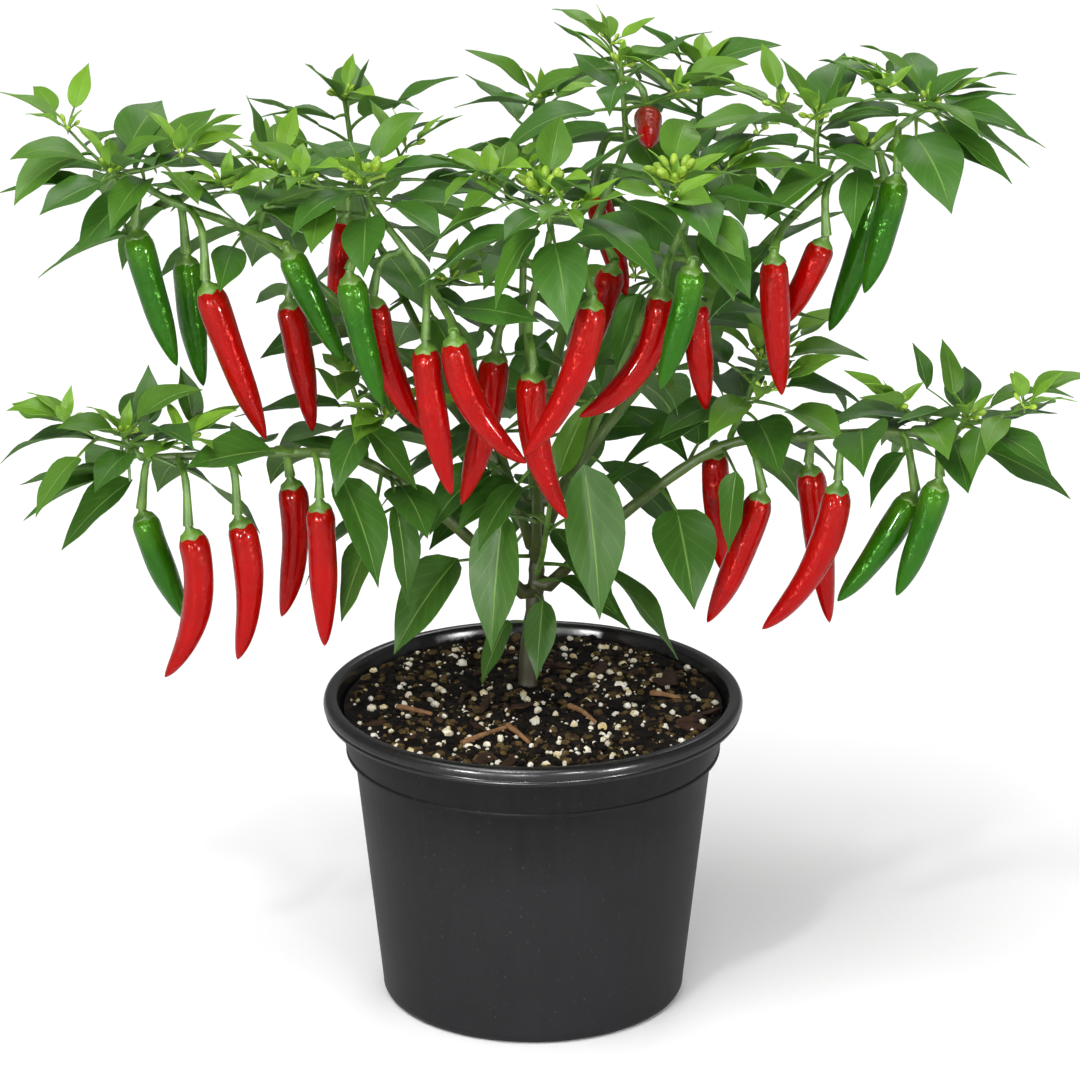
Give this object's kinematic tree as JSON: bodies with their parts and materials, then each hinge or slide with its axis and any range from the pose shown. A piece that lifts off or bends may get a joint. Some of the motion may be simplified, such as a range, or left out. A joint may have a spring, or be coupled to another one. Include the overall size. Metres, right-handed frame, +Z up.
{
  "type": "potted chilli pepper plant",
  "caption": "Bushy chilli pepper plant with red and green pods, in a round black plastic nursery pot filled with potting mix.",
  "frame": {"origin": "middle of the pot's base, on the surface it stands on", "axes": "+Z up, +X to the plant's right seen from its front, +Y to its back"},
  "size_m": [0.5075, 0.2847, 0.4772],
  "materials": {
    "pot": "matte",
    "potting_mix": "matte",
    "stem": "matte",
    "leaf": "satin",
    "red_chilli": "gloss",
    "green_chilli": "gloss"
  },
  "bodies": {
    "root": {"pot": "pot", "potting_mix": "potting_mix", "main_stem": "stem", "branch_lower_left": "stem", "branch_lower_right": "stem", "branch_front": "stem", "branch_front_left": "stem", "branch_front_right": "stem", "branch_upper_left": "stem", "branch_upper_right": "stem", "shoot_far_left": "leaf", "shoot_left": "leaf", "shoot_lower_left": "leaf", "shoot_mid_left": "leaf", "shoot_back_left": "leaf", "shoot_back": "leaf", "shoot_back_right": "leaf", "shoot_top": "leaf", "shoot_front_left": "leaf", "shoot_front": "leaf", "shoot_front_right": "leaf", "shoot_right": "leaf", "shoot_far_right": "leaf", "shoot_lower_right": "leaf", "shoot_mid_right": "leaf", "shoot_low_front": "leaf", "red_chilli_01": "red_chilli", "red_chilli_02": "red_chilli", "red_chilli_03": "red_chilli", "red_chilli_04": "red_chilli", "red_chilli_05": "red_chilli", "red_chilli_06": "red_chilli", "red_chilli_07": "red_chilli", "red_chilli_08": "red_chilli", "red_chilli_09": "red_chilli", "red_chilli_10": "red_chilli", "red_chilli_11": "red_chilli", "red_chilli_12": "red_chilli", "red_chilli_13": "red_chilli", "red_chilli_14": "red_chilli", "red_chilli_15": "red_chilli", "red_chilli_16": "red_chilli", "red_chilli_17": "red_chilli", "red_chilli_18": "red_chilli", "red_chilli_19": "red_chilli", "red_chilli_20": "red_chilli", "red_chilli_21": "red_chilli", "red_chilli_22": "red_chilli", "red_chilli_23": "red_chilli", "red_chilli_24": "red_chilli", "green_chilli_01": "green_chilli", "green_chilli_02": "green_chilli", "green_chilli_03": "green_chilli", "green_chilli_04": "green_chilli", "green_chilli_05": "green_chilli", "green_chilli_06": "green_chilli", "green_chilli_07": "green_chilli", "green_chilli_08": "green_chilli", "green_chilli_09": "green_chilli", "green_chilli_10": "green_chilli"}
  },
  "joints": []
}
